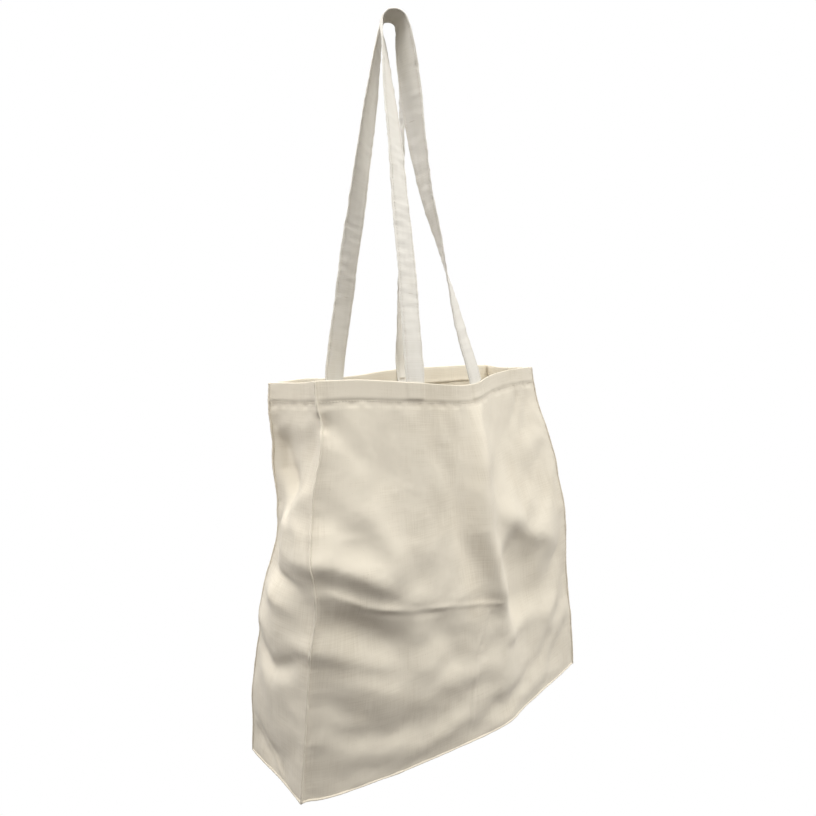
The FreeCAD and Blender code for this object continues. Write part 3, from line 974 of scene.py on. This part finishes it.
def make_tacks(side, feet, thread):
    """The bar tacks that hold a handle's two ends to the hem: three close rows of stitches across each."""
    for leg, foot in zip(("left", "right"), feet):
        across, bow = foot["bow"]
        middle = lerp(foot["rim"], foot["end"], HEM / 2 / FOOT_DEPTH)
        middle = middle - foot["out"] * (STRAP_THICK / 2 + TACK_LIFT)
        path = middle + foot["along"] * across[:, None] + foot["out"] * bow[:, None]
        inward = np.tile(-foot["out"], (len(path), 1))
        rows = [(path + UP * lift, inward) for lift in TACK_ROWS]
        tack = make_stitches(f"{side}_{leg}_bar_tack_thread", rows, thread, TACK_STITCH)
        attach(tack, "bag")
        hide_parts(f"{side}_{leg}_bar_tack")


# ---------- materials

# Light and dark tones of the cloths and the thread, and the seed flecks' colour
CANVAS_TONES = ((0.78, 0.72, 0.60), (0.68, 0.615, 0.495))
WEBBING_TONES = ((0.79, 0.765, 0.70), (0.71, 0.68, 0.60))
FLECK_TONE = (0.34, 0.26, 0.17, 1)
THREAD_TONES = ((0.78, 0.73, 0.63), (0.60, 0.54, 0.44))

# The weave: the wave texture's scale for 1400 threads a metre, its bump's height, the slubs' stretch,
# and where the dark tone ends on the ramp
WEAVE_SCALE = 1400 * math.pi / 10
WEAVE_HEIGHT = 0.00012
SLUB_SCALES = ((900, 28, 1), (24, 1000, 1))
DARK_STOP = 0.72


def node(tree, kind, **settings):
    """A shader node with its properties and unlinked inputs set."""
    made = tree.nodes.new(kind)
    for key, value in settings.items():
        if key in made.inputs:
            made.inputs[key].default_value = value
        else:
            setattr(made, key, value)
    return made


def math_node(tree, operation, first, second, third=None):
    """A Math node's output. Each input is a number or another node's output."""
    made = node(tree, "ShaderNodeMath", operation=operation)
    for socket, value in zip(made.inputs, (first, second, third)):
        if isinstance(value, bpy.types.NodeSocket):
            tree.links.new(value, socket)
        elif value is not None:
            socket.default_value = value
    return made.outputs[0]


def new_material(name, **settings):
    """A material's shader, its tree, and the material itself, with the shader's own sockets set."""
    material = bpy.data.materials.new(name)
    material.use_nodes = True
    shader = material.node_tree.nodes["Principled BSDF"]
    for key, value in settings.items():
        shader.inputs[key.replace("_", " ")].default_value = value
    return shader, material.node_tree, material


def two_tones(tree, light, dark):
    """A colour ramp from a dark tone to a light one."""
    ramp = node(tree, "ShaderNodeValToRGB")
    ramp.color_ramp.elements[0].color = (*dark, 1)
    ramp.color_ramp.elements[1].color = (*light, 1)
    return ramp


def weave_threads(tree, place):
    """The height of the crossing threads."""
    ways = []
    for direction in ("X", "Y"):
        wave = node(tree, "ShaderNodeTexWave", bands_direction=direction, Scale=WEAVE_SCALE, Distortion=0.9)
        wave.inputs["Detail"].default_value = 1.0
        wave.inputs["Detail Scale"].default_value = 1.4
        tree.links.new(place, wave.inputs["Vector"])
        ways.append(wave.outputs["Fac"])
    return math_node(tree, "MAXIMUM", *ways)


def weave_slubs(tree, place):
    """Thick and thin places along the threads of both ways."""
    ways = []
    for scale in SLUB_SCALES:
        mapping = node(tree, "ShaderNodeMapping", Scale=scale)
        tree.links.new(place, mapping.inputs["Vector"])
        noise = node(tree, "ShaderNodeTexNoise", Scale=1.0, Detail=2.0, Roughness=0.55)
        tree.links.new(mapping.outputs["Vector"], noise.inputs["Vector"])
        ways.append(noise.outputs["Fac"])
    return math_node(tree, "ADD", *ways)


def cloth_colour(tree, place, slub, light, dark):
    """The cloth's colour: slubs and slow changes of tone, with a few seed flecks."""
    tone = node(tree, "ShaderNodeTexNoise", Scale=9.0, Detail=3.0, Roughness=0.6)
    tree.links.new(place, tone.inputs["Vector"])
    ramp = two_tones(tree, light, dark)
    ramp.color_ramp.elements[0].position = DARK_STOP
    tree.links.new(math_node(tree, "MULTIPLY_ADD", slub, 0.5, tone.outputs["Fac"]), ramp.inputs["Fac"])
    flecks = node(tree, "ShaderNodeTexVoronoi", Scale=140.0)
    tree.links.new(place, flecks.inputs["Vector"])
    small = math_node(tree, "LESS_THAN", flecks.outputs["Distance"], 0.045)
    colour = node(tree, "ShaderNodeMix", data_type="RGBA")
    tree.links.new(math_node(tree, "MULTIPLY", small, 0.35), colour.inputs["Factor"])
    tree.links.new(ramp.outputs["Color"], colour.inputs[6])
    colour.inputs[7].default_value = FLECK_TONE
    return colour.outputs[2]


def canvas_material(name, light, dark):
    """Unbleached plain weave: crossing threads, slubs, seed flecks and slow changes of tone."""
    shader, tree, material = new_material(
        name, Roughness=0.92, Specular_IOR_Level=0.22, Sheen_Weight=0.18, Sheen_Roughness=0.6)
    place = node(tree, "ShaderNodeUVMap", uv_map="cloth").outputs["UV"]
    slub = weave_slubs(tree, place)
    tree.links.new(cloth_colour(tree, place, slub, light, dark), shader.inputs["Base Color"])
    bump = node(tree, "ShaderNodeBump", Strength=0.7, Distance=WEAVE_HEIGHT)
    height = math_node(tree, "MULTIPLY_ADD", slub, 0.7, weave_threads(tree, place))
    tree.links.new(height, bump.inputs["Height"])
    tree.links.new(bump.outputs["Normal"], shader.inputs["Normal"])
    return material


def thread_material():
    """Twisted cotton thread, near the cloth's own colour."""
    shader, tree, material = new_material("thread", Roughness=0.7, Sheen_Weight=0.2)
    place = node(tree, "ShaderNodeTexCoord")
    noise = node(tree, "ShaderNodeTexNoise", Scale=900.0, Detail=2.0)
    tree.links.new(place.outputs["Object"], noise.inputs["Vector"])
    ramp = two_tones(tree, *THREAD_TONES)
    tree.links.new(noise.outputs["Fac"], ramp.inputs["Fac"])
    tree.links.new(ramp.outputs["Color"], shader.inputs["Base Color"])
    return material


# ---------- studio

# Share of the way from straight down to straight up, brightness, tint
SKY = (
    (0.00, 0.16, (1.00, 0.90, 0.82)),
    (0.46, 0.22, (1.00, 0.90, 0.86)),
    (0.60, 0.60, (0.99, 0.99, 1.00)),
    (1.00, 0.85, (0.98, 0.99, 1.00)),
)


# Soft square lamps: place, size, watts, colour. All point at the bag's middle
LAMP_TARGET = (0.0, 0.0, 0.3)
LAMPS = {
    "overhead": ((0.70, -1.60, 3.2), 1.8, 75, (1.0, 0.985, 0.95)),
    "right": ((2.4, -1.4, 1.2), 1.2, 13, (1.0, 0.99, 0.96)),
    "left": ((-1.0, 0.1, 1.7), 1.0, 21, (1.0, 0.98, 0.96)),
    "behind": ((0.4, 2.2, 2.4), 1.8, 55, (1.0, 0.99, 0.97)),
}

# The sweep: radii of its flat floor and of the curve up to its wall, its roof, its depth below the bag
FLOOR_RADIUS = 3.0
CURVE_RADIUS = 2.0
ROOF = ((5.0, 6.0), (0.0, 7.0))
SWEEP_DROP = 0.45
SWEEP_SIDES = 64

# The camera's degrees down from level, and from +Y towards +X
CAMERA_PITCH, CAMERA_HEADING = 6.63, 37.2


def make_studio():
    """A soft sky that is brighter above, a white sweep well below the hanging bag, and soft lamps."""
    scene = bpy.context.scene
    scene.view_settings.view_transform = "Standard"
    scene.world = bpy.data.worlds.new("studio")
    scene.world.use_nodes = True
    tree = scene.world.node_tree
    place = node(tree, "ShaderNodeTexCoord")
    split = node(tree, "ShaderNodeSeparateXYZ")
    up = node(tree, "ShaderNodeMapRange")
    up.inputs["From Min"].default_value = -1
    sky = node(tree, "ShaderNodeValToRGB")
    sky.color_ramp.interpolation = "EASE"
    while len(sky.color_ramp.elements) < len(SKY):
        sky.color_ramp.elements.new(0.5)
    for stop, (height, level, tint) in zip(sky.color_ramp.elements, SKY):
        stop.position = height
        stop.color = (*(level * channel for channel in tint), 1)
    tree.links.new(place.outputs["Generated"], split.inputs[0])
    tree.links.new(split.outputs["Z"], up.inputs["Value"])
    tree.links.new(up.outputs[0], sky.inputs["Fac"])
    tree.links.new(sky.outputs["Color"], tree.nodes["Background"].inputs["Color"])
    make_sweep()
    for name, lamp in LAMPS.items():
        add_light(name, *lamp)


def make_sweep():
    """A round white floor that curves up into a wall, seen by the camera but throwing no light."""
    floor = [(FLOOR_RADIUS * k / 4, 0.0) for k in range(5)]
    curve = [(FLOOR_RADIUS + CURVE_RADIUS * math.sin(a), CURVE_RADIUS - CURVE_RADIUS * math.cos(a))
             for a in np.linspace(0.1, math.pi / 2, 12)]
    profile = [*floor, *curve, *ROOF]
    turn = np.linspace(0, 2 * math.pi, SWEEP_SIDES, endpoint=False)
    rings = [[(r * math.cos(a), r * math.sin(a), h - SWEEP_DROP) for a in turn] for r, h in profile]
    sweep = make_mesh("studio_sweep", rings, grid_faces(len(profile), SWEEP_SIDES, closed=True))
    shader, _, white = new_material("sweep_white", Base_Color=(0, 0, 0, 1), Specular_IOR_Level=0)
    shader.inputs["Emission Color"].default_value = (1, 1, 1, 1)
    shader.inputs["Emission Strength"].default_value = 1
    sweep.data.materials.append(white)
    for rays in ("visible_diffuse", "visible_glossy", "visible_shadow", "visible_transmission"):
        setattr(sweep, rays, False)


def add_light(name, place, size, watts, colour):
    """A square soft light that points at the bag."""
    light = bpy.data.lights.new(name, "AREA")
    light.energy = watts
    light.size = size
    light.color = colour
    lamp = bpy.data.objects.new(name, light)
    lamp.location = place
    x, y, z = np.array(LAMP_TARGET) - np.array(lamp.location)
    lamp.rotation_euler = (math.atan2(math.hypot(x, y), -z), 0, math.atan2(-x, y))
    bpy.context.scene.collection.objects.link(lamp)


def make_camera():
    """A phone's wide view from the front left, a little above the rim."""
    camera = bpy.data.cameras.new("camera")
    camera.sensor_width = 36
    camera.lens = 26.5
    holder = bpy.data.objects.new("camera", camera)
    holder.location = (-0.460, -0.550, 0.459)
    holder.rotation_euler = (math.radians(90 - CAMERA_PITCH), 0, -math.radians(CAMERA_HEADING))
    bpy.context.scene.collection.objects.link(holder)
    bpy.context.scene.camera = holder


def make_bag():
    """The whole object."""
    canvas = canvas_material("canvas", *CANVAS_TONES)
    webbing = canvas_material("webbing", *WEBBING_TONES)
    thread = thread_material()
    s, z, ring = ring_places(int(round(RIM / STEP)) + 1)
    ring = folded(swayed(ring, s, z), s, z)
    base = base_points(ring)
    ring, base = simulate(ring, base, s, z)
    walls = {wall: make_wall(ring, z, wall, canvas) for wall in WALLS}
    make_base(joined_base(base, ring), canvas)
    make_seams(walls, canvas)
    hem_stitches(walls, thread)
    for name in HANDLES:
        make_handle(name, walls, webbing, thread)


make_studio()
make_camera()
make_bag()
